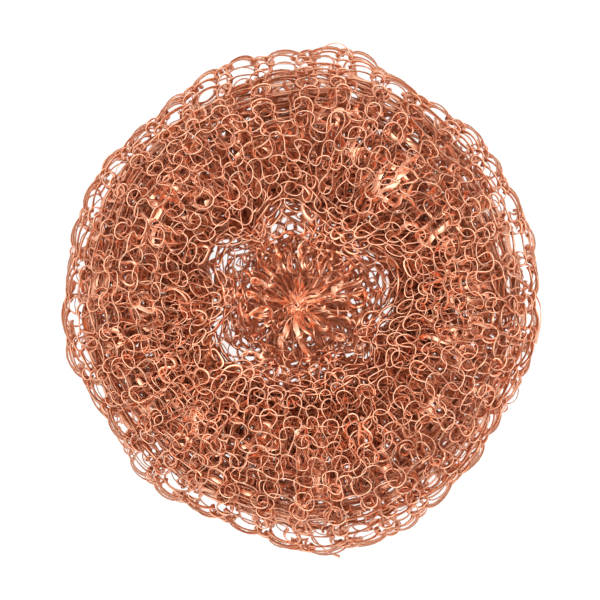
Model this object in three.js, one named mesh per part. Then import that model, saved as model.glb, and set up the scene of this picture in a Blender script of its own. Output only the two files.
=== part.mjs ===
// Copper scourer: a knitted tube of flat copper wire, rolled up on itself into a soft ring and drawn
// together in the middle. The roll's turns lie on each other all through, so the pad is one solid with the
// outer form of the knit: a rounded ring with a scalloped rim, one scallop for each wale (column of
// stitches), and a pleated web where the tube is gathered, which leaves a hollow above and another below.
// Millimetres, +Z up. The pad lies on the flat ring of its underside, and the origin is the middle of its
// footprint.
import * as THREE from "three";

// Driving dimensions of the rolled ring
const PAD_DIAMETER = 80; // mean diameter over the rim
const PAD_THICKNESS = 28;
const RIM_HEIGHT = 13; // height at which the side bulges furthest
const REST_WIDTH = 12; // width of the flat ring that the pad lies on

// Driving dimensions of the gathered middle
const GATHER_RADIUS = 15.5; // where the roll's inner edge drops to the web
const GATHER_LIP_DROP = 6.5; // depth of that inner edge below the crest of the roll
const TOP_HOLLOW_DEPTH = 11; // from the crest of the roll to the middle of the web
const UNDER_HOLLOW_DEPTH = 8; // from the resting plane up to the middle of the web
const PLEAT_DEPTH = 1.2;
const WALES_PER_PLEAT = 2;

// Driving dimensions of the knit that show at the rim
const WALES = 36; // columns of stitches round the tube
const SCALLOP_DEPTH = 1.1;
const SCALLOP_BAND = 6; // how far in from the rim the scallops fade out

// The hand-rolled pad is out of round: lobes round the rim, with the height and a peak's direction of each
const OUT_OF_ROUND = [
  { lobes: 2, height: 1.17, peakDegrees: 108.7 },
  { lobes: 3, height: 0.52, peakDegrees: 53.1 },
  { lobes: 4, height: 0.45, peakDegrees: 88.5 },
];

// Handles of the section's Bezier curves, each a share of the stretch that it bends
const QUARTER_ROUND = 0.55;
const WEB_UNDER_SPREAD = 0.45;
const REST_EDGE_SPREAD = 0.4;
const LIP_LEAN = 0.2;
const LIP_INSET = 0.15;
const LIP_FALL = 0.7;
const WEB_TOP_SPREAD = 0.5;

// Facets
const STEPS_PER_WALE = 4;
const STEPS_PER_CURVE = 5;

const COPPER_FINISH = { color: 0xb76a4c, roughness: 0.35, metalness: 1 };

const rimRadius = PAD_DIAMETER / 2;
const crestRadius = (GATHER_RADIUS + rimRadius) / 2;
const restInner = crestRadius - REST_WIDTH / 2;
const restOuter = crestRadius + REST_WIDTH / 2;
const lipHeight = PAD_THICKNESS - GATHER_LIP_DROP;
const webTop = PAD_THICKNESS - TOP_HOLLOW_DEPTH;
const webUnder = UNDER_HOLLOW_DEPTH;

// Share of the way from one number to another.
function between(from, to, share) {
  return from + (to - from) * share;
}

// Half of the pad's section, from the underside of the web out over the rim and back to the web's top.
// Each stretch is a Bezier curve whose handles keep the outline smooth where two stretches meet.
function halfSection() {
  const section = new THREE.Path();
  section.moveTo(0, webUnder);
  section.bezierCurveTo(
    between(0, restInner, WEB_UNDER_SPREAD), webUnder,
    between(restInner, 0, REST_EDGE_SPREAD), 0,
    restInner, 0,
  );
  section.lineTo(restOuter, 0);
  section.bezierCurveTo(
    between(restOuter, rimRadius, QUARTER_ROUND), 0,
    rimRadius, between(RIM_HEIGHT, 0, QUARTER_ROUND),
    rimRadius, RIM_HEIGHT,
  );
  section.bezierCurveTo(
    rimRadius, between(RIM_HEIGHT, PAD_THICKNESS, QUARTER_ROUND),
    between(crestRadius, rimRadius, QUARTER_ROUND), PAD_THICKNESS,
    crestRadius, PAD_THICKNESS,
  );
  section.bezierCurveTo(
    between(crestRadius, GATHER_RADIUS, QUARTER_ROUND), PAD_THICKNESS,
    between(GATHER_RADIUS, crestRadius, LIP_LEAN), between(lipHeight, PAD_THICKNESS, QUARTER_ROUND),
    GATHER_RADIUS, lipHeight,
  );
  section.bezierCurveTo(
    between(GATHER_RADIUS, 0, LIP_INSET), between(lipHeight, webTop, LIP_FALL),
    between(0, GATHER_RADIUS, WEB_TOP_SPREAD), webTop,
    0, webTop,
  );
  return section.getPoints(STEPS_PER_CURVE);
}

// How far the rim stands out from the mean circle in a direction, as it is out of round.
function outOfRound(angle) {
  return OUT_OF_ROUND.reduce((sum, lobe) => {
    const fromPeak = angle - THREE.MathUtils.degToRad(lobe.peakDegrees);
    return sum + lobe.height * Math.cos(lobe.lobes * fromPeak);
  }, 0);
}

// How far a scallop falls back from its crown: 0 at the middle of a wale, SCALLOP_DEPTH between two wales.
function scallopFall(angle) {
  return SCALLOP_DEPTH * (1 - Math.abs(Math.cos((WALES / 2) * angle)));
}

// Height of the pleats, which swell half-way across the web and vanish in its middle and at the roll.
function pleatLift(radius, angle) {
  if (radius >= GATHER_RADIUS) {
    return 0;
  }
  const swell = Math.sin((Math.PI * radius) / GATHER_RADIUS) ** 2;
  return PLEAT_DEPTH * swell * Math.cos((WALES / WALES_PER_PLEAT) * angle);
}

// Moves a round solid's vertices to the knit's own outline: out of round, scalloped at the rim and
// pleated in the middle.
function shapeKnit(geometry) {
  const place = new THREE.Vector3();
  const position = geometry.getAttribute("position");
  for (let i = 0; i < position.count; i += 1) {
    place.fromBufferAttribute(position, i);
    const radius = Math.hypot(place.x, place.y);
    const angle = Math.atan2(place.y, place.x);
    const reach = (radius / rimRadius) ** 2;
    const atRim = THREE.MathUtils.smoothstep(radius, rimRadius - SCALLOP_BAND, rimRadius);
    const shaped = radius + reach * outOfRound(angle) - atRim * scallopFall(angle);
    place.set(shaped * Math.cos(angle), shaped * Math.sin(angle), place.z + pleatLift(radius, angle));
    position.setXYZ(i, place.x, place.y, place.z);
  }
  return geometry;
}

// Sets the middle of the footprint on the origin.
function centreFootprint(geometry) {
  geometry.computeBoundingBox();
  const middle = geometry.boundingBox.getCenter(new THREE.Vector3());
  return geometry.translate(-middle.x, -middle.y, 0);
}

function knittedPad() {
  const round = new THREE.LatheGeometry(halfSection(), WALES * STEPS_PER_WALE);
  round.rotateX(Math.PI / 2);
  const geometry = centreFootprint(shapeKnit(round));
  geometry.computeVertexNormals();
  const pad = new THREE.Mesh(geometry, new THREE.MeshStandardMaterial(COPPER_FINISH));
  pad.name = "knitted_wire_pad";
  return pad;
}

const scourer = new THREE.Group();
scourer.name = "copper_scourer";
scourer.add(knittedPad());

export default scourer;
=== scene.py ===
"""Copper scourer: one flat copper wire, knitted into a tube, rolled into a ring and gathered in the middle.

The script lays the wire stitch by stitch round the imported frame. Shapes are worked out in
millimetres and turned into metres where a mesh is made.
"""

import logging
import math
from dataclasses import dataclass, field
from enum import Enum

import bpy
import numpy as np
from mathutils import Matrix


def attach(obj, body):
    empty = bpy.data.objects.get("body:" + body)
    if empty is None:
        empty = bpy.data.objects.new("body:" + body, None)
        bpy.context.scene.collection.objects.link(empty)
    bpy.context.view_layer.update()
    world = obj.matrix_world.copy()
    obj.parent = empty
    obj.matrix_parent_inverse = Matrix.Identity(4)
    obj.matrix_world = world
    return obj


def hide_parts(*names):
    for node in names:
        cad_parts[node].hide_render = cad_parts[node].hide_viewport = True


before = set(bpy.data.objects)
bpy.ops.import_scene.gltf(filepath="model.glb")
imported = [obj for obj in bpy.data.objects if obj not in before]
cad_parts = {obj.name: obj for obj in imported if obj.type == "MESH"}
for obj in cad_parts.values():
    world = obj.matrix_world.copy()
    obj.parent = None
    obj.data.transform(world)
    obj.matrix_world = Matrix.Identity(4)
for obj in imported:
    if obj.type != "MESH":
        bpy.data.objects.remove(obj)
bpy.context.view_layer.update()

LOG = logging.getLogger("scourer")
MM = 0.001
FULL_TURN = 2.0 * math.pi
UPWARDS = (0.0, 0.0, 1.0)
BODY = "root"
PAD_NODE = "knitted_wire_pad"

Array = np.ndarray
Colour = tuple[float, float, float, float]


class Stretch(Enum):
    """Stretches of the tube, in the order in which the wire runs through them."""

    OUTER_CORE = "outer_core"
    OUTER_TURN = "outer_turn"
    UNDER_SKIN = "under_skin"
    TOP_SKIN = "top_skin"
    TOP_GATHER = "top_gather"
    UNDER_GATHER = "under_gather"
    INNER_TURN = "inner_turn"
    INNER_CORE = "inner_core"


TURNS = (Stretch.OUTER_TURN, Stretch.INNER_TURN)
CORES = (Stretch.OUTER_CORE, Stretch.INNER_CORE)


def bezier(start: Array, out: Array, into: Array, end: Array, steps: int) -> Array:
    """Samples one cubic Bezier curve.

    Args:
        start: first point.
        out: handle of the first point.
        into: handle of the last point.
        end: last point.
        steps: number of steps along the curve.

    Returns:
        Array of steps + 1 points.
    """
    share = np.linspace(0.0, 1.0, steps + 1)[:, None]
    rest = 1.0 - share
    handles = 3 * rest**2 * share * out + 3 * rest * share**2 * into
    return rest**3 * start + handles + share**3 * end


def smooth_line(knots: Array, starts: Array, ends: Array, handle: float, steps: int) -> Array:
    """Smooth line through points.

    Args:
        knots: points on the line.
        starts: direction at the first point.
        ends: direction at the last point.
        handle: length of the curves' handles, as a share of the distance between two points.
        steps: steps between two points.

    Returns:
        Points of the line.
    """
    slopes = np.empty_like(knots)
    slopes[1:-1] = knots[2:] - knots[:-2]
    slopes[0] = starts
    slopes[-1] = ends
    slopes = unit(slopes)
    pieces = []
    for i in range(len(knots) - 1):
        reach = handle * np.linalg.norm(knots[i + 1] - knots[i])
        out = knots[i] + reach * slopes[i]
        into = knots[i + 1] - reach * slopes[i + 1]
        pieces.append(bezier(knots[i], out, into, knots[i + 1], steps))
    return np.concatenate(pieces)


def smooth_step(value: Array, low: float, high: float) -> Array:
    """Smooth rise from 0 at low to 1 at high."""
    share = np.clip((value - low) / (high - low), 0.0, 1.0)
    return share * share * (3.0 - 2.0 * share)


def unit(vectors: Array) -> Array:
    """Rows of an array of vectors, each at length 1."""
    return vectors / np.linalg.norm(vectors, axis=1, keepdims=True)


def dot(one: Array, other: Array) -> Array:
    """Products of the rows of two arrays, as a column."""
    return np.sum(one * other, axis=1, keepdims=True)


def bell(value: Array, middle: float, width: float) -> Array:
    """Smooth bump: 1 at the middle, falling off over the width."""
    return np.exp(-(((value - middle) / width) ** 2))


@dataclass(frozen=True)
class Chance:
    """Smooth random line along the wire, with a spread of about 1."""

    seed: int
    values_per_stitch: float

    def at(self, stitches: Array) -> Array:
        """Reads the line.

        Args:
            stitches: places along the wire, in stitches.

        Returns:
            Value at each place.
        """
        spot = stitches * self.values_per_stitch
        values = np.random.default_rng(self.seed).normal(size=int(spot.max()) + 3)
        knot = spot.astype(int)
        blend = smooth_step(spot - knot, 0.0, 1.0)
        return values[knot] * (1.0 - blend) + values[knot + 1] * blend


@dataclass(frozen=True)
class Lobe:
    """One wave of the pad's outline: its number of lobes, their height and a peak's direction."""

    lobes: int
    height: float
    peak_degrees: float


@dataclass(frozen=True)
class Wander:
    """One wave in the pleats' course: its height, its number of lobes and its drift along the tube."""

    height: float
    lobes: int
    drift: float


@dataclass(frozen=True)
class Window:
    """Direction in which the gathered stitches stand open, and half of the width, in degrees."""

    direction: float
    spread: float

    def off(self, angle: Array) -> Array:
        """Angle from the middle of the window, in radians."""
        return (angle - math.radians(self.direction) + math.pi) % FULL_TURN - math.pi

    def openness(self, angle: Array) -> Array:
        """How open the stitches stand in each direction, up to 1 in the middle of the window."""
        return bell(self.off(angle), 0.0, math.sqrt(2.0) * math.radians(self.spread))


@dataclass(frozen=True)
class PadForm:
    """Outer form of the pad, in millimetres."""

    mean_radius: float = 40.0
    thickness: float = 28.0
    rim_height: float = 13.0
    rest_width: float = 12.0
    gather_radius: float = 15.5
    under_hollow: float = 8.0
    outline: tuple[Lobe, ...] = (
        Lobe(2, 1.17, 108.7),
        Lobe(3, 0.52, 53.1),
        Lobe(4, 0.45, 88.5),
    )
    outline_steps: int = 720
    gather_shift: tuple[float, float] = (-0.8, -0.5)
    pleats: int = 18
    pleat_depth: float = 1.8
    pleat_lean: float = 0.7
    pleat_wander: tuple[Wander, ...] = (Wander(0.8, 5, 0.05), Wander(0.6, 3, -0.08))
    neck_spread: float = 0.8
    neck_band: tuple[float, float] = (1.5, 6.0)
    windows: tuple[Window, ...] = (
        Window(13.0, 22.0),
        Window(99.0, 14.0),
        Window(154.0, 12.0),
        Window(213.0, 16.0),
        Window(319.0, 8.0),
    )
    window_pull: float = 1.0
    window_band: tuple[float, float] = (13.5, 3.6)
    sag: float = 3.0
    sag_band: tuple[float, float] = (16.0, 7.0)

    @property
    def crest_radius(self) -> float:
        """Radius of the roll's highest line."""
        return (self.gather_radius + self.mean_radius) / 2

    def bulge(self, angle: Array) -> Array:
        """How far the rim stands out from the mean circle.

        Args:
            angle: directions round the axis.

        Returns:
            Distance in each direction, in millimetres.
        """
        bulge = np.zeros_like(angle)
        for lobe in self.outline:
            bulge += lobe.height * np.cos(lobe.lobes * (angle - math.radians(lobe.peak_degrees)))
        return bulge

    def part(self, angle: Array, radius: Array) -> Array:
        """Turns directions away from the windows, where the gathered stitches are pulled apart.

        Args:
            angle: directions round the axis.
            radius: distances from the axis.

        Returns:
            The turned directions.
        """
        pushed = np.zeros_like(angle)
        for window in self.windows:
            pushed += window.off(angle) * window.openness(angle)
        return angle + self.window_pull * bell(radius, *self.window_band) * pushed

    def draw_in(self, angle: Array, radius: Array) -> Array:
        """Lets the soft inner edge of the roll sag inwards between the windows.

        Args:
            angle: directions round the axis.
            radius: distances from the axis before the sag.

        Returns:
            Distances from the axis after it.
        """
        held = np.zeros_like(angle)
        for window in self.windows:
            held = np.maximum(held, window.openness(angle))
        return radius - self.sag * bell(radius, *self.sag_band) * (1.0 - held)

    def fold(self, angle: Array, place: Array) -> Array:
        """Pleats of the gather.

        Args:
            angle: directions round the axis.
            place: distances along the tube's path.

        Returns:
            1 on a crest, -1 in a furrow, and values between.
        """
        course = self.pleats * angle
        for wave in self.pleat_wander:
            course = course + wave.height * np.sin(wave.lobes * angle + wave.drift * place)
        return np.cos(course)

    def swell(self, radius: Array) -> Array:
        """How high the pleats stand, from 0 at the axis and at the gather's edge up to 1."""
        reach = np.clip(radius / self.gather_radius, 0.0, 1.0)
        return np.sin(math.pi * reach**self.pleat_lean) ** 2

    def axis(self) -> Array:
        """Finds the outline's axis when the middle of the outline's box is the origin.

        Returns:
            Place (x, y) of the axis.
        """
        angle = np.linspace(0.0, FULL_TURN, self.outline_steps + 1)
        radius = self.mean_radius + self.bulge(angle)
        rim = np.stack([radius * np.cos(angle), radius * np.sin(angle)], 1)
        return -(rim.max(0) + rim.min(0)) / 2


@dataclass(frozen=True)
class Roll:
    """Path of the knitted tube through half of the pad's section, in millimetres.

    The path starts inside the roll, unwinds to the underside, goes round the rim and over the top to
    the middle, passes down through the neck, comes out underneath and winds up inside the roll again.
    Low side and shoulder are shares of the way in from the rim or out from the crest, and of a height.
    """

    form: PadForm
    inset: float = 1.0
    rim_inset: float = 0.8
    neck: float = 1.0
    neck_top: float = 17.8
    neck_under: float = 10.0
    hump: tuple[float, float] = (5.0, 19.6)
    valley: tuple[float, float] = (11.0, 18.5)
    lip: tuple[float, float] = (15.8, 21.8)
    lip_direction: tuple[float, float] = (-0.55, -0.85)
    low_side: tuple[float, float] = (0.1, 0.42)
    shoulder: tuple[float, float] = (0.72, 0.27)
    web_radius: float = 7.0
    winding_middle: tuple[float, float] = (27.2, 14.0)
    winding_half: tuple[float, float] = (9.6, 12.0)
    pitch: float = 0.08
    slack: float = 0.06
    outer_size: float = 0.99
    outer_turns: float = 2.9
    inner_size: float = 1.05
    inner_turns: float = 3.1
    handle: float = 0.4
    curve_steps: int = 60
    turn_steps: int = 120

    def winding(self, size: float, turns: float) -> Array:
        """Turns of the tube inside the ring, from the inner wall inwards.

        Args:
            size: size of the first turn, as a share of the winding's section.
            turns: number of turns.

        Returns:
            Points (radius, height) of the winding.
        """
        wound = np.linspace(0.0, turns, int(turns * self.turn_steps))
        angle = math.pi - FULL_TURN * wound
        left = size - self.pitch * wound - self.slack * wound**2
        spread = np.stack([np.cos(angle), np.sin(angle)], 1)
        return np.array(self.winding_middle) + left[:, None] * spread * np.array(self.winding_half)

    def through(self, points: list, starts: tuple, ends: tuple) -> Array:
        """Smooth line through points (radius, height), with its first and last direction."""
        return smooth_line(np.array(points), starts, ends, self.handle, self.curve_steps)

    def stretches(self) -> dict[Stretch, Array]:
        """Draws the path of the tube.

        Returns:
            Points (radius, height) of each stretch, in the order in which the wire runs through them.
        """
        form = self.form
        rim = (form.mean_radius - self.rim_inset, form.rim_height)
        top = form.thickness - self.inset
        crest = form.crest_radius
        rest_in = (crest - form.rest_width / 2, self.inset)
        rest_out = (crest + form.rest_width / 2, self.inset)
        low_in, low_up = self.low_side
        low_side = (rim[0] - low_in * (rim[0] - rest_out[0]), low_up * form.rim_height)
        shoulder_out, shoulder_down = self.shoulder
        shoulder = (
            crest + shoulder_out * (rim[0] - crest),
            top - shoulder_down * (top - form.rim_height),
        )
        neck_top = (self.neck, self.neck_top)
        neck_under = (self.neck, self.neck_under)
        web_under = (self.web_radius, form.under_hollow)
        up, down, inwards = (0.0, 1.0), (0.0, -1.0), self.lip_direction

        outer = self.winding(self.outer_size, self.outer_turns)
        inner = self.winding(self.inner_size, self.inner_turns)
        underside = [outer[0], rest_in, rest_out, low_side, rim]
        topside = [rim, shoulder, (crest, top), self.lip]
        rosette = [self.lip, self.valley, self.hump, neck_top]
        web = [neck_top, neck_under, web_under, inner[0]]
        turn = self.turn_steps
        return {
            Stretch.OUTER_CORE: outer[turn:][::-1],
            Stretch.OUTER_TURN: outer[: turn + 1][::-1],
            Stretch.UNDER_SKIN: self.through(underside, down, up),
            Stretch.TOP_SKIN: self.through(topside, up, inwards),
            Stretch.TOP_GATHER: self.through(rosette, inwards, down),
            Stretch.UNDER_GATHER: self.through(web, down, up),
            Stretch.INNER_TURN: inner[: turn + 1],
            Stretch.INNER_CORE: inner[turn:],
        }


@dataclass(frozen=True)
class Stitch:
    """Shape of one plain knitted loop, round in the ring and pulled wide at the rim.

    Heads are shares of a wale (a column of stitches), heights are shares of a course (a row of
    stitches), bands are shares of the gather's radius, and the rest is in millimetres. Fields that end
    in wale give the widths of a wale between which a loop changes its shape.
    """

    course: float = 2.8
    gather_course: float = 7.0
    web_course: float = 1.6
    gather_band: tuple[float, float] = (0.45, 0.75)
    web_band: tuple[float, float] = (0.55, 0.8)
    web_height: tuple[float, float] = (13.0, 16.0)
    gather_wale: tuple[float, float] = (0.9, 1.9)
    lip_wale: tuple[float, float] = (2.2, 4.4)
    ring_wale: float = 4.6
    rim_wale: float = 6.6
    gather_waist: float = 0.08
    lip_waist: float = 1.0
    ring_waist: float = 0.85
    ring_head: float = 0.0
    rim_head: float = 0.10
    ring_height: float = 0.74
    rim_height: float = 0.62
    depth: float = 0.5
    head_out: float = 0.2
    unevenness: float = 0.18
    drift_share: float = 0.5
    drift_chance: Chance = Chance(21, 1.0)
    height_chance: Chance = Chance(22, 1.0)
    rise_chance: Chance = Chance(23, 0.7)
    depth_chance: Chance = Chance(24, 1.0)
    width_chance: Chance = Chance(27, 1.0)

    def between(self, wale: Array, ring: float, rim: float) -> Array:
        """Value for each width of a wale, from the ring's to the stretched rim's."""
        return ring + (rim - ring) * smooth_step(wale, self.ring_wale, self.rim_wale)

    def sideways(self, phase: Array, wale: Array) -> Array:
        """Sideways swing of the wire along a loop. Loops overlap where the tube is narrow.

        Args:
            phase: places along the loops, a full turn for each.
            wale: width of a wale at each place.

        Returns:
            Swing at each place, in wales.
        """
        in_ring = smooth_step(wale, *self.lip_wale)
        waist = self.lip_waist + (self.ring_waist - self.lip_waist) * in_ring
        opened = smooth_step(wale, *self.gather_wale)
        waist = self.gather_waist + (waist - self.gather_waist) * opened
        head = self.between(wale, self.ring_head, self.rim_head)
        return waist / wale * np.sin(2 * phase) - head * np.sin(phase)

    def along(self, phase: Array, wale: Array) -> Array:
        """Swing of the wire along the tube, in courses."""
        return -self.between(wale, self.ring_height, self.rim_height) * np.cos(phase)

    def outwards(self, phase: Array) -> Array:
        """Swing out of the fabric, in millimetres: heads and feet lie outside, legs inside."""
        return self.depth * np.cos(2 * phase) - self.head_out * np.cos(phase)

    def pitch(self, radius: Array, height: Array, form: PadForm) -> Array:
        """Height of a course: drawn long on top of the gather and packed close below it.

        Args:
            radius: distances of the tube's path from the axis.
            height: heights of the path.
            form: form of the pad.

        Returns:
            Height of a course at each place of the path, in millimetres.
        """
        reach = radius / form.gather_radius
        on_top = smooth_step(height, *self.web_height)
        drawn = on_top * (1.0 - smooth_step(reach, *self.gather_band))
        packed = (1.0 - on_top) * (1.0 - smooth_step(reach, *self.web_band))
        longer = drawn * (self.gather_course - self.course)
        return self.course + longer + packed * (self.web_course - self.course)


@dataclass(frozen=True)
class FlatWire:
    """Section of the flat wire in millimetres, and the way it twists in radians.

    Steadiness is how strongly the flat side is held upright, and the slant is how far it leans outwards
    at the rim. Each stretch has a twist in the ring and one at the rim. Rolls turn the wire far over
    here and there, and flat places in the rosette show its broad side. flat_inner and flat_band are
    radii in millimetres, roll_band is in shares of the gather's radius, and lean_band, rim_band and
    roll_end are in shares of the pad's.
    """

    width: float = 0.75
    thickness: float = 0.15
    steadiness: float = 2.2
    least_steep: float = 0.35
    rim_slant: float = 0.35
    rim_band: tuple[float, float] = (0.78, 0.94)
    lean_band: tuple[float, float] = (0.7, 0.85)
    ring_roll: float = 0.01
    gather_roll: float = 0.06
    most_roll: float = 1.3
    roll_band: tuple[float, float] = (1.0, 1.4)
    roll_end: tuple[float, float] = (0.75, 0.85)
    twist_chance: Chance = Chance(25, 1.3)
    flat_roll: float = 1.45
    flat_from: tuple[float, float] = (0.85, 1.15)
    flat_band: tuple[float, float] = (9.0, 12.0)
    flat_inner: tuple[float, float] = (4.0, 6.5)
    flat_chance: Chance = Chance(26, 4.0)
    twists: dict[Stretch, tuple[float, float]] = field(
        default_factory=lambda: {
            Stretch.OUTER_CORE: (0.9, 0.9),
            Stretch.OUTER_TURN: (0.22, 0.5),
            Stretch.UNDER_SKIN: (0.5, 0.12),
            Stretch.TOP_SKIN: (0.12, 0.12),
            Stretch.TOP_GATHER: (0.22, 0.22),
            Stretch.UNDER_GATHER: (0.9, 0.9),
            Stretch.INNER_TURN: (0.2, 0.5),
            Stretch.INNER_CORE: (0.9, 0.9),
        }
    )


@dataclass(frozen=True)
class Crumple:
    """Smooth uneven displacement of the fabric, as a sum of waves in many directions.

    The mix is the range of the waves' numbers, and rim_hold is how much less the rim moves.
    """

    seed: int
    wavelength: float
    height: float
    rim_hold: float = 0.0
    waves: int = 24
    layer_rate: float = 0.35
    mix: tuple[float, float] = (0.6, 1.5)

    def move(self, places: Array, along: Array) -> Array:
        """Displacement of points.

        Args:
            places: points, in millimetres.
            along: place of each along the tube's path, so that layers on each other differ.

        Returns:
            Displacement of each point, in millimetres.
        """
        draw = np.random.default_rng(self.seed)
        direction = unit(draw.normal(size=(self.waves, 4)))
        mixed = draw.uniform(*self.mix, (self.waves, 1))
        number = direction * (FULL_TURN / self.wavelength) * mixed
        start = draw.uniform(0.0, FULL_TURN, self.waves)
        push = draw.normal(size=(self.waves, 3)) * self.height * math.sqrt(2.0 / self.waves)
        where = np.concatenate([places, self.layer_rate * along[:, None]], 1)
        return np.sin(where @ number.T + start) @ push


@dataclass
class KnittedTube:
    """The whole knitted wire: where it runs and which way its flat side turns."""

    form: PadForm
    roll: Roll
    stitch: Stitch
    wire: FlatWire
    wales: int = 36
    table_step: float = 0.05
    nudge: float = 0.1
    least_radius: float = 1.0
    crumples: tuple[Crumple, ...] = (Crumple(11, 24.0, 0.75), Crumple(12, 8.5, 0.3, 0.6))
    spans: dict[Stretch, tuple[float, float]] = field(init=False, default_factory=dict)
    path_place: Array = field(init=False)
    path_radius: Array = field(init=False)
    path_height: Array = field(init=False)
    path_course: Array = field(init=False)
    path_tilt: Array = field(init=False)
    axis: Array = field(init=False)

    def __post_init__(self) -> None:
        """Measures the path and counts its courses."""
        lines = self.roll.stretches()
        line = np.concatenate(list(lines.values()))
        steps = np.hypot(*np.diff(line, axis=0).T)
        length = np.concatenate([[0.0], np.cumsum(steps)])
        self.path_place = np.arange(0.0, length[-1], self.table_step)
        self.path_radius = np.interp(self.path_place, length, line[:, 0])
        self.path_height = np.interp(self.path_place, length, line[:, 1])
        rate = 1.0 / self.stitch.pitch(self.path_radius, self.path_height, self.form)
        self.path_course = np.concatenate([[0.0], np.cumsum(rate[:-1]) * self.table_step])
        outwards, upwards = np.gradient(self.path_radius), np.gradient(self.path_height)
        self.path_tilt = np.unwrap(np.arctan2(upwards, -outwards))
        first = 0
        for stretch, points in lines.items():
            ends = [length[first], length[first + len(points) - 1]]
            self.spans[stretch] = tuple(np.interp(ends, self.path_place, self.path_course))
            first += len(points)
        self.axis = self.form.axis()

    def fabric(self, angle: Array, place: Array) -> Array:
        """Points of the fabric's middle surface.

        Args:
            angle: direction round the pad's axis.
            place: distance along the tube's path.

        Returns:
            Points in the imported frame, in millimetres.
        """
        form = self.form
        radius = np.interp(place, self.path_place, self.path_radius)
        height = np.interp(place, self.path_place, self.path_height)
        reach = (radius / form.mean_radius) ** 2
        angle = form.part(angle, radius)
        radius = form.draw_in(angle, radius) + reach * form.bulge(angle)
        fold = form.fold(angle, place)
        height = height + form.pleat_depth * form.swell(radius) * fold
        at_neck = 1.0 - smooth_step(radius, *form.neck_band)
        radius = radius * (1.0 + form.neck_spread * at_neck * fold)
        points = np.stack([radius * np.cos(angle), radius * np.sin(angle), height], 1)
        points[:, :2] += self.axis + np.array(form.gather_shift) * (1.0 - reach)[:, None]
        for crumple in self.crumples:
            free = 1.0 - crumple.rim_hold * reach
            points = points + crumple.move(points, place) * free[:, None]
        return points

    def lay(self, stretch: Stretch, steps: int) -> tuple[Array, Array]:
        """Lays the wire along one stretch of the tube.

        Args:
            stretch: which stretch.
            steps: steps of the wire for each stitch.

        Returns:
            Points of the wire, and the direction across its flat side at each.
        """
        stitch = self.stitch
        first, last = self.spans[stretch]
        stitches = np.arange(first * self.wales, last * self.wales, 1.0 / steps)
        phase = FULL_TURN * stitches
        odd = stitch.unevenness
        courses = stitches / self.wales
        wale = FULL_TURN * np.interp(courses, self.path_course, self.path_radius) / self.wales
        side = stitch.sideways(phase, wale) * (1.0 + odd * stitch.width_chance.at(stitches))
        side += odd * stitch.drift_share * stitch.drift_chance.at(stitches)
        rise = stitch.along(phase, wale) * (1.0 + odd * stitch.height_chance.at(stitches))
        rise += odd * stitch.rise_chance.at(stitches)
        course = np.clip(courses + rise, 0.0, self.path_course[-1])
        angle = FULL_TURN * (stitches + side) / self.wales
        place = np.interp(course, self.path_course, self.path_place)

        middle = self.fabric(angle, place)
        radius = np.hypot(middle[:, 0], middle[:, 1])
        aside = self.nudge / np.maximum(radius, self.least_radius)
        across = self.fabric(angle + aside, place) - middle
        ahead = self.fabric(angle, place + self.nudge) - middle
        normal = unit(np.cross(across, ahead))
        swing = stitch.outwards(phase) * (1.0 + odd * stitch.depth_chance.at(stitches))
        points = middle + normal * swing[:, None]

        run = unit(np.gradient(points, axis=0))
        upright = unit(normal - run * dot(normal, run))
        upright = self.steady(stretch, stitches, points, run, upright)
        turn = self.turn(stretch, stitches, radius)[:, None]
        return points, upright * np.cos(turn) + np.cross(run, upright) * np.sin(turn)

    def steady(
        self, stretch: Stretch, stitches: Array, points: Array, run: Array, upright: Array
    ) -> Array:
        """Turns the wire so that its flat side stands steeply, however the fabric slopes.

        Args:
            stretch: which stretch of the tube.
            stitches: place along the wire, in stitches.
            points: points of the wire.
            run: direction of the wire.
            upright: direction across the flat side when it stands upright in the fabric.

        Returns:
            Direction across the flat side at each place.
        """
        tilt = np.interp(stitches / self.wales, self.path_course, self.path_tilt)
        middle = 0.5 * (self.spans[stretch][0] + self.spans[stretch][1])
        level = np.pi * np.rint(np.interp(middle, self.path_course, self.path_tilt) / np.pi)
        lean = level - tilt
        steep = np.tile(UPWARDS, (len(points), 1))
        if stretch not in TURNS + CORES:
            radius = np.hypot(points[:, 0], points[:, 1])
            reach = radius / self.form.mean_radius
            lean *= smooth_step(reach, *self.wire.lean_band)
            slant = self.wire.rim_slant * smooth_step(reach, *self.wire.rim_band) / radius
            steep[:, :2] += points[:, :2] * slant[:, None]
        lean = lean[:, None]
        stood = upright * np.cos(lean) + np.cross(run, upright) * np.sin(lean)
        steep -= run * dot(steep, run)
        length = np.linalg.norm(steep, axis=1, keepdims=True)
        steep /= np.maximum(length, self.wire.least_steep)
        return unit(stood + self.wire.steadiness * np.cos(level) * steep)

    def turn(self, stretch: Stretch, stitches: Array, radius: Array) -> Array:
        """How far the wire is twisted about its own run, from standing steeply.

        Args:
            stretch: which stretch of the tube.
            stitches: place along the wire, in stitches.
            radius: distance from the pad's axis.

        Returns:
            Angle at each place.
        """
        wire, form = self.wire, self.form
        reach = radius / form.mean_radius
        gathered = 1.0 - smooth_step(radius / form.gather_radius, *wire.roll_band)
        roll = wire.ring_roll + gathered * (wire.gather_roll - wire.ring_roll)
        roll *= 1.0 - smooth_step(reach, *wire.roll_end)
        in_ring, at_rim = wire.twists[stretch]
        twist = in_ring + (at_rim - in_ring) * smooth_step(reach, *wire.rim_band)
        wobble = wire.twist_chance.at(stitches)
        rolled = np.clip(roll * wobble**3, -wire.most_roll, wire.most_roll)
        twist = twist * wobble + rolled
        flat = smooth_step(wire.flat_chance.at(stitches), *wire.flat_from)
        flat *= smooth_step(radius, *wire.flat_inner)
        flat *= 1.0 - smooth_step(radius, *wire.flat_band)
        return twist + wire.flat_roll * flat


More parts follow.
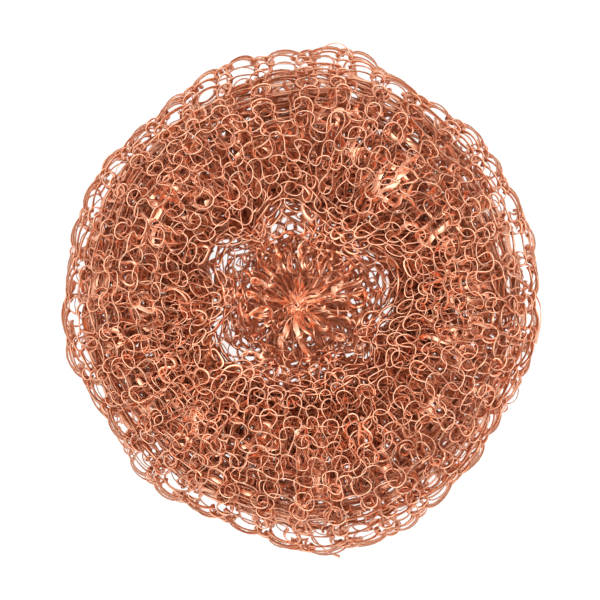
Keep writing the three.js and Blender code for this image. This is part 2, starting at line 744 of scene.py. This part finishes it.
class NodeBoard:
    """Node tree of a material or of the world, emptied and filled node by node."""

    def __init__(self, owner: bpy.types.Material | bpy.types.World) -> None:
        """Takes the owner's node tree and empties it."""
        owner.use_nodes = True
        self.tree = owner.node_tree
        self.tree.nodes.clear()

    def add(
        self, kind: str, settings: dict | None = None, values: dict | None = None
    ) -> bpy.types.Node:
        """Adds a node.

        Args:
            kind: type of the node.
            settings: properties of the node.
            values: values of its input sockets, by name or by number.

        Returns:
            The node.
        """
        node = self.tree.nodes.new(kind)
        for name, value in (settings or {}).items():
            setattr(node, name, value)
        for socket, value in (values or {}).items():
            node.inputs[socket].default_value = value
        return node

    def link(self, source: bpy.types.NodeSocket, target: bpy.types.NodeSocket) -> None:
        """Joins an output socket to an input socket."""
        self.tree.links.new(source, target)


@dataclass(frozen=True)
class CopperFinish:
    """Bright rolled copper: fine streaks along the wire, and a tone that drifts from place to place."""

    name: str = "bright_copper"
    light: Colour = (1.0, 0.60, 0.41, 1.0)
    dark: Colour = (0.98, 0.50, 0.32, 1.0)
    shiny: float = 0.28
    dull: float = 0.46
    drift_scale: float = 260.0
    drift_detail: float = 3.0
    streak_scale: tuple[float, float, float] = (150.0, 9000.0, 1.0)
    streak_detail: float = 2.0
    streak_strength: float = 0.2
    streak_height: float = 0.02

    def make(self) -> bpy.types.Material:
        """Builds the material.

        Returns:
            The new material.
        """
        material = bpy.data.materials.new(self.name)
        board = NodeBoard(material)
        output = board.add("ShaderNodeOutputMaterial")
        shader = board.add("ShaderNodeBsdfPrincipled", values={"Metallic": 1.0})
        place = board.add("ShaderNodeTexCoord")
        drift_values = {"Scale": self.drift_scale, "Detail": self.drift_detail}
        drift = board.add("ShaderNodeTexNoise", values=drift_values)
        tone = board.add("ShaderNodeMix", {"data_type": "RGBA"}, {"A": self.dark, "B": self.light})
        stretched = board.add("ShaderNodeMapping", values={"Scale": self.streak_scale})
        streak_values = {"Scale": 1.0, "Detail": self.streak_detail}
        streak = board.add("ShaderNodeTexNoise", values=streak_values)
        gloss = board.add("ShaderNodeMapRange", values={"To Min": self.dull, "To Max": self.shiny})
        relief_values = {"Strength": self.streak_strength, "Distance": self.streak_height * MM}
        relief = board.add("ShaderNodeBump", values=relief_values)
        board.link(place.outputs["Object"], drift.inputs["Vector"])
        board.link(drift.outputs["Fac"], tone.inputs["Factor"])
        board.link(tone.outputs["Result"], shader.inputs["Base Color"])
        board.link(place.outputs["UV"], stretched.inputs["Vector"])
        board.link(stretched.outputs["Vector"], streak.inputs["Vector"])
        board.link(streak.outputs["Fac"], gloss.inputs["Value"])
        board.link(gloss.outputs["Result"], shader.inputs["Roughness"])
        board.link(streak.outputs["Fac"], relief.inputs["Height"])
        board.link(relief.outputs["Normal"], shader.inputs["Normal"])
        board.link(shader.outputs["BSDF"], output.inputs["Surface"])
        return material


@dataclass
class Ribbon:
    """Flat wire laid along a run of points, as one closed mesh.

    Edges near the floor are eased upwards, so that none goes through it.
    """

    name: str
    points: Array
    flat: Array
    wire: FlatWire
    floor_ease: float = 0.5
    lift: float = 0.12
    grid_size: float = 1.0
    edge_weight: int = 50

    def build(self, finish: bpy.types.Material) -> bpy.types.Object:
        """Makes the ribbon from a long grid, gives it its thickness and its finish.

        Args:
            finish: material of the wire.

        Returns:
            The new object.
        """
        half = self.flat * (self.wire.width / 2)
        edges = np.stack([self.points - half, self.points + half])
        height = edges[:, :, 2]
        edges[:, :, 2] = self.lift + (height + np.sqrt(height**2 + self.floor_ease**2)) / 2

        last = len(self.points) - 1
        bpy.ops.object.select_all(action="DESELECT")
        bpy.ops.mesh.primitive_grid_add(
            x_subdivisions=last, y_subdivisions=1, size=self.grid_size
        )
        ribbon = bpy.context.object
        ribbon.name = ribbon.data.name = self.name
        grid = np.empty(len(ribbon.data.vertices) * 3)
        ribbon.data.vertices.foreach_get("co", grid)
        grid = grid.reshape(-1, 3)
        column = np.rint((grid[:, 0] / self.grid_size + 0.5) * last).astype(int)
        edge = (grid[:, 1] > 0).astype(int)
        ribbon.data.vertices.foreach_set("co", (edges[edge, column] * MM).ravel())
        self.measure(ribbon.data, column, edge)
        ribbon.data.update()

        thick = ribbon.modifiers.new("thickness", "SOLIDIFY")
        thick.thickness = self.wire.thickness * MM
        thick.offset = 0.0
        bpy.ops.object.modifier_apply(modifier=thick.name)
        bpy.ops.object.shade_smooth()
        soft = ribbon.modifiers.new("rounded_edges", "WEIGHTED_NORMAL")
        soft.mode = "FACE_AREA"
        soft.weight = self.edge_weight
        bpy.ops.object.modifier_apply(modifier=soft.name)
        ribbon.data.materials.clear()
        ribbon.data.materials.append(finish)
        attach(ribbon, BODY)
        triangles = 2 * len(ribbon.data.polygons)
        LOG.info("%s: %d points, %d triangles", self.name, last + 1, triangles)
        return ribbon

    def measure(self, mesh: bpy.types.Mesh, column: Array, edge: Array) -> None:
        """Writes the place along and across the wire, in metres, as the mesh's UV map.

        Args:
            mesh: mesh of the ribbon, before it has its thickness.
            column: point of the wire at each vertex.
            edge: edge of the ribbon at each vertex, 0 or 1.
        """
        steps = np.linalg.norm(np.diff(self.points, axis=0), axis=1)
        run = np.concatenate([[0.0], np.cumsum(steps)])
        corner = np.empty(len(mesh.loops), dtype=np.int32)
        mesh.loops.foreach_get("vertex_index", corner)
        places = np.stack([run[column[corner]], edge[corner] * self.wire.width], 1) * MM
        mesh.uv_layers.active.data.foreach_set("uv", places.ravel())


@dataclass(frozen=True)
class Studio:
    """Pale floor, soft light from above and a camera that looks straight down.

    Sizes are in metres, the sensor is in millimetres and the lamp's power is in watts.
    """

    floor_size: float = 4.0
    floor_tone: Colour = (0.2, 0.2, 0.2, 1.0)
    floor_white: float = 0.9
    frame_width: float = 0.0997
    camera_height: float = 0.9
    focus_height: float = 0.013
    sensor: float = 36.0
    lamp_size: float = 1.0
    lamp_place: tuple[float, float, float] = (0.08, 0.12, 1.2)
    lamp_power: float = 9.0
    zenith: float = 1.25
    horizon: float = 1.1

    def floor(self) -> None:
        """Adds the floor: white to the camera and in reflections, with the pad's shadow on it."""
        bpy.ops.object.select_all(action="DESELECT")
        bpy.ops.mesh.primitive_plane_add(size=self.floor_size)
        floor = bpy.context.object
        floor.name = "floor"
        material = bpy.data.materials.new("white_floor")
        board = NodeBoard(material)
        output = board.add("ShaderNodeOutputMaterial")
        matt = board.add("ShaderNodeBsdfDiffuse", values={"Color": self.floor_tone})
        glow = board.add("ShaderNodeEmission")
        path = board.add("ShaderNodeLightPath")
        seen = board.add("ShaderNodeMath", {"operation": "MAXIMUM"})
        shown = board.add("ShaderNodeMath", {"operation": "MAXIMUM"})
        level = board.add("ShaderNodeMath", {"operation": "MULTIPLY"}, {1: self.floor_white})
        both = board.add("ShaderNodeAddShader")
        board.link(path.outputs["Is Camera Ray"], seen.inputs[0])
        board.link(path.outputs["Is Glossy Ray"], seen.inputs[1])
        board.link(seen.outputs[0], shown.inputs[0])
        board.link(path.outputs["Is Transmission Ray"], shown.inputs[1])
        board.link(shown.outputs[0], level.inputs[0])
        board.link(level.outputs[0], glow.inputs["Strength"])
        board.link(matt.outputs[0], both.inputs[0])
        board.link(glow.outputs[0], both.inputs[1])
        board.link(both.outputs[0], output.inputs["Surface"])
        floor.data.materials.append(material)

    def light(self) -> None:
        """Adds the sky, brightest overhead, and one large soft lamp."""
        world = bpy.data.worlds.new("soft_sky")
        bpy.context.scene.world = world
        board = NodeBoard(world)
        output = board.add("ShaderNodeOutputWorld")
        sky = board.add("ShaderNodeBackground")
        place = board.add("ShaderNodeTexCoord")
        split = board.add("ShaderNodeSeparateXYZ")
        levels = {"To Min": self.horizon, "To Max": self.zenith}
        level = board.add("ShaderNodeMapRange", values=levels)
        board.link(place.outputs["Generated"], split.inputs[0])
        board.link(split.outputs["Z"], level.inputs["Value"])
        board.link(level.outputs["Result"], sky.inputs["Strength"])
        board.link(sky.outputs[0], output.inputs["Surface"])
        lamp = bpy.data.lights.new("softbox", "AREA")
        lamp.shape = "SQUARE"
        lamp.size = self.lamp_size
        lamp.energy = self.lamp_power
        softbox = bpy.data.objects.new("softbox", lamp)
        softbox.location = self.lamp_place
        bpy.context.collection.objects.link(softbox)

    def camera(self) -> None:
        """Adds the camera above the pad, with the photograph's frame."""
        lens = bpy.data.cameras.new("camera")
        lens.sensor_width = lens.sensor_height = self.sensor
        lens.lens = self.sensor * (self.camera_height - self.focus_height) / self.frame_width
        camera = bpy.data.objects.new("camera", lens)
        camera.location = (0.0, 0.0, self.camera_height)
        bpy.context.collection.objects.link(camera)
        bpy.context.scene.camera = camera
        bpy.context.scene.view_settings.view_transform = "Standard"


@dataclass(frozen=True)
class LooseWire:
    """A bit of wire that has come out of the knit at the rim, through points in millimetres."""

    name: str
    knots: tuple[tuple[float, float, float], ...]
    handle: float = 0.4
    steps: int = 14
    twist: float = 0.5

    def lay(self) -> tuple[Array, Array]:
        """Lays the wire through its points.

        Returns:
            Points of the wire, and the direction across its flat side at each.
        """
        knots = np.array(self.knots)
        starts, ends = knots[1] - knots[0], knots[-1] - knots[-2]
        points = smooth_line(knots, starts, ends, self.handle, self.steps)
        apart = np.linalg.norm(np.diff(points, axis=0), axis=1) > 0.0
        points = points[np.concatenate([[True], apart])]
        run = unit(np.gradient(points, axis=0))
        upright = unit(np.array(UPWARDS) - run * run[:, 2:])
        turn = np.linspace(-self.twist, self.twist, len(points))[:, None]
        return points, upright * np.cos(turn) + np.cross(run, upright) * np.sin(turn)


@dataclass
class Scourer:
    """The pad: every stretch of the knitted wire in copper."""

    tube: KnittedTube
    finish: CopperFinish
    loose: tuple[LooseWire, ...] = (
        LooseWire(
            "loose_loop",
            (
                (1.5, 36.5, 13.0),
                (3.1, 40.6, 14.2),
                (5.8, 42.6, 15.0),
                (8.4, 40.9, 14.4),
                (9.4, 37.0, 13.0),
            ),
        ),
        LooseWire(
            "loose_end_low",
            ((0.5, -37.0, 12.0), (3.0, -40.4, 13.5), (4.8, -41.8, 14.4), (6.6, -42.6, 14.2)),
        ),
        LooseWire(
            "loose_end_side",
            ((36.0, 3.6, 13.0), (39.3, 0.4, 14.2), (39.9, -3.0, 15.0), (39.1, -7.2, 14.6)),
        ),
    )
    steps: dict[Stretch, int] = field(
        default_factory=lambda: {
            Stretch.OUTER_CORE: 11,
            Stretch.OUTER_TURN: 18,
            Stretch.UNDER_SKIN: 22,
            Stretch.TOP_SKIN: 28,
            Stretch.TOP_GATHER: 34,
            Stretch.UNDER_GATHER: 22,
            Stretch.INNER_TURN: 20,
            Stretch.INNER_CORE: 11,
        }
    )

    def build(self) -> None:
        """Builds the ribbons of all stretches. The skin over the top stands for the CAD pad."""
        copper = self.finish.make()
        for stretch, steps in self.steps.items():
            points, flat = self.tube.lay(stretch, steps)
            ribbon = Ribbon(stretch.value, points, flat, self.tube.wire).build(copper)
            if stretch is Stretch.TOP_SKIN:
                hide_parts(PAD_NODE)
        for wire in self.loose:
            points, flat = wire.lay()
            Ribbon(wire.name, points, flat, self.tube.wire).build(copper)


def main() -> None:
    """Builds the studio and the pad."""
    logging.basicConfig(level=logging.INFO, format="%(name)s: %(message)s")
    studio = Studio()
    studio.camera()
    studio.floor()
    studio.light()
    form = PadForm()
    tube = KnittedTube(form, Roll(form), Stitch(), FlatWire())
    Scourer(tube, CopperFinish()).build()


if __name__ == "__main__":
    main()
